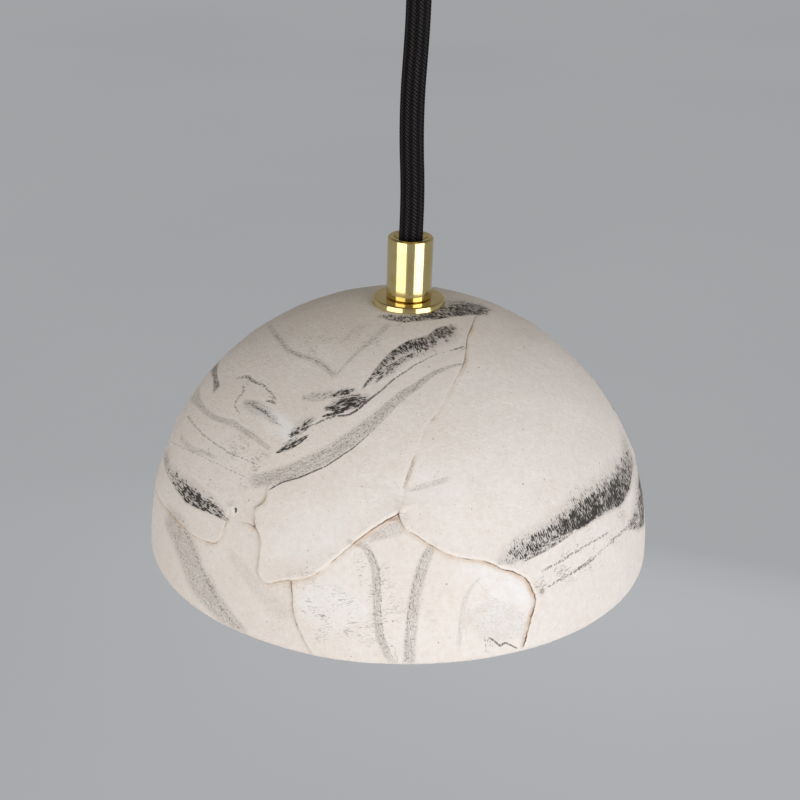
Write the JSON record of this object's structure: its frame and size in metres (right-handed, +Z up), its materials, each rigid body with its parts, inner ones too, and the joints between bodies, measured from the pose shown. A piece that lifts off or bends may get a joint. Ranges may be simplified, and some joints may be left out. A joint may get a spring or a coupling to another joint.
{
  "type": "dome pendant light",
  "caption": "Small marbled ceramic dome pendant light on a black braided cord, with a turned brass cord grip, a brass ceiling rose and a lampholder with a globe bulb.",
  "frame": {"origin": "on the ceiling plane, at the middle of the ceiling bracket's upper face, on the cord's axis", "axes": "+Z up, away from the hanging shade; +X along the bracket, to the right of the picture; -Y towards the viewer of the picture"},
  "size_m": [0.15, 0.15, 0.2333],
  "materials": {
    "polished_brass": "turned and polished",
    "plain_brass": "stamped, as made",
    "zinc_plated_steel": "bright zinc plate",
    "marbled_clay": "unglazed, matte, cream clay with charcoal streaks",
    "black_braid": "braided textile over a flexible cord",
    "black_rubber": "moulded",
    "black_phenolic": "moulded, satin",
    "white_nylon": "moulded",
    "brown_pvc": "extruded insulation",
    "blue_pvc": "extruded insulation",
    "green_yellow_pvc": "extruded insulation, striped",
    "white_steatite": "pressed and fired",
    "solder": "drop of solder",
    "black_vitrite": "moulded black glass",
    "nickel_plated_shell": "drawn and plated",
    "white_polycarbonate": "moulded, satin",
    "white_board": "solder mask",
    "yellow_phosphor": "moulded phosphor",
    "opal_polycarbonate": "moulded, opal"
  },
  "bodies": {
    "ceiling_bracket": {"ceiling_bracket": "zinc_plated_steel", "rose_screws": "polished_brass"},
    "rose": {"ceiling_rose": "polished_brass", "rose_grip": "polished_brass", "rose_grip_screw": "zinc_plated_steel", "rose_tube": "zinc_plated_steel", "rose_lock_nut": "zinc_plated_steel", "terminal_block": "white_nylon", "terminal_block_screws": "plain_brass", "rose_core_live": "brown_pvc", "rose_core_earth": "green_yellow_pvc", "rose_core_neutral": "blue_pvc", "cord_upper_end": "black_braid"},
    "cord_bend": {"cord_bend": "black_braid"},
    "cord": {"cord_drop": "black_braid"},
    "shade": {"cord_lower_end": "black_braid", "cord_grip": "polished_brass", "cord_grip_screw": "zinc_plated_steel", "grip_flange": "polished_brass", "threaded_tube": "zinc_plated_steel", "ceramic_dome": "marbled_clay", "rubber_washer": "black_rubber", "steel_washer": "zinc_plated_steel", "lock_nut": "zinc_plated_steel", "lampholder_cap": "black_phenolic", "earth_tag": "plain_brass", "earth_nut": "plain_brass", "lampholder_core_live": "brown_pvc", "lampholder_core_neutral": "blue_pvc", "lampholder_core_earth": "green_yellow_pvc", "lampholder_insert": "white_steatite", "terminal_posts": "plain_brass", "terminal_post_screws": "zinc_plated_steel", "screw_shell": "plain_brass", "centre_contact": "plain_brass", "lampholder_skirt": "black_phenolic"},
    "bulb_tip": {"bulb_contact": "solder"},
    "bulb": {"bulb_insulator": "black_vitrite", "bulb_cap": "nickel_plated_shell", "bulb_housing": "white_polycarbonate", "bulb_board": "white_board", "bulb_leds": "yellow_phosphor", "bulb_globe": "opal_polycarbonate"}
  },
  "joints": [
    {"name": "rose_drop", "type": "slide", "parent": "ceiling_bracket", "child": "rose", "axis": [0, 0, -1], "range_m": [0, 0.03]},
    {"name": "swing_side", "type": "hinge", "parent": "rose", "child": "cord_bend", "pos_m": [0, 0, -0.043], "axis": [0, 1, 0], "range_deg": [-35, 35]},
    {"name": "swing_front", "type": "hinge", "parent": "cord_bend", "child": "cord", "pos_m": [0, 0, -0.05055], "axis": [1, 0, 0], "range_deg": [-35, 35]},
    {"name": "shade_twist", "type": "hinge", "parent": "cord", "child": "shade", "pos_m": [0, 0, -0.1106], "axis": [0, 0, 1], "range_deg": [-180, 180], "stiffness_Nm_per_rad": 0.003},
    {"name": "bulb_advance", "type": "slide", "parent": "shade", "child": "bulb_tip", "axis": [0, 0, -1], "range_m": [0, 0.02258]},
    {"name": "bulb_turn", "type": "hinge", "parent": "bulb_tip", "child": "bulb", "pos_m": [0, 0, -0.19], "axis": [0, 0, -1], "range_deg": [0, 2880]}
  ],
  "couplings": [
    {"joint": "bulb_advance", "follows": "bulb_turn", "m_per_rad": 0.00044914}
  ]
}
